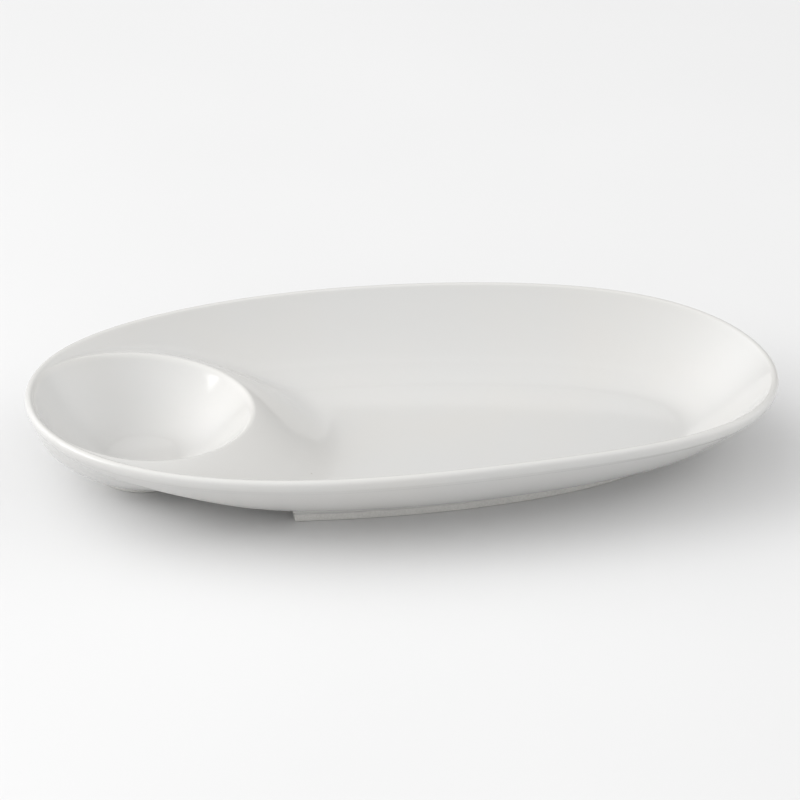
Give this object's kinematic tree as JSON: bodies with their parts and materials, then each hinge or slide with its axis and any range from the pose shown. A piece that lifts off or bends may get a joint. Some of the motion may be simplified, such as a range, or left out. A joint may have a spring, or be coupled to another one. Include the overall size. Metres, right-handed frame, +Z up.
{
  "type": "chip and dip server",
  "caption": "Oval serving platter with a deep chip well and a round dip bowl formed in one end, in white glazed porcelain, standing on two bare foot rings",
  "frame": {"origin": "the middle of the object's footprint box, on the table surface that both foot rings stand on", "axes": "+X along the length, away from the dip bowl; +Y across the width; +Z up"},
  "size_m": [0.3702, 0.2004, 0.0475],
  "materials": {
    "platter_glaze": "gloss white glaze",
    "dip_bowl_glaze": "gloss white glaze",
    "bare_porcelain": "unglazed, matte"
  },
  "bodies": {
    "root": {"platter": "platter_glaze", "dip_bowl": "dip_bowl_glaze", "platter_foot_ring": "bare_porcelain", "dip_bowl_foot_ring": "bare_porcelain"}
  },
  "joints": []
}
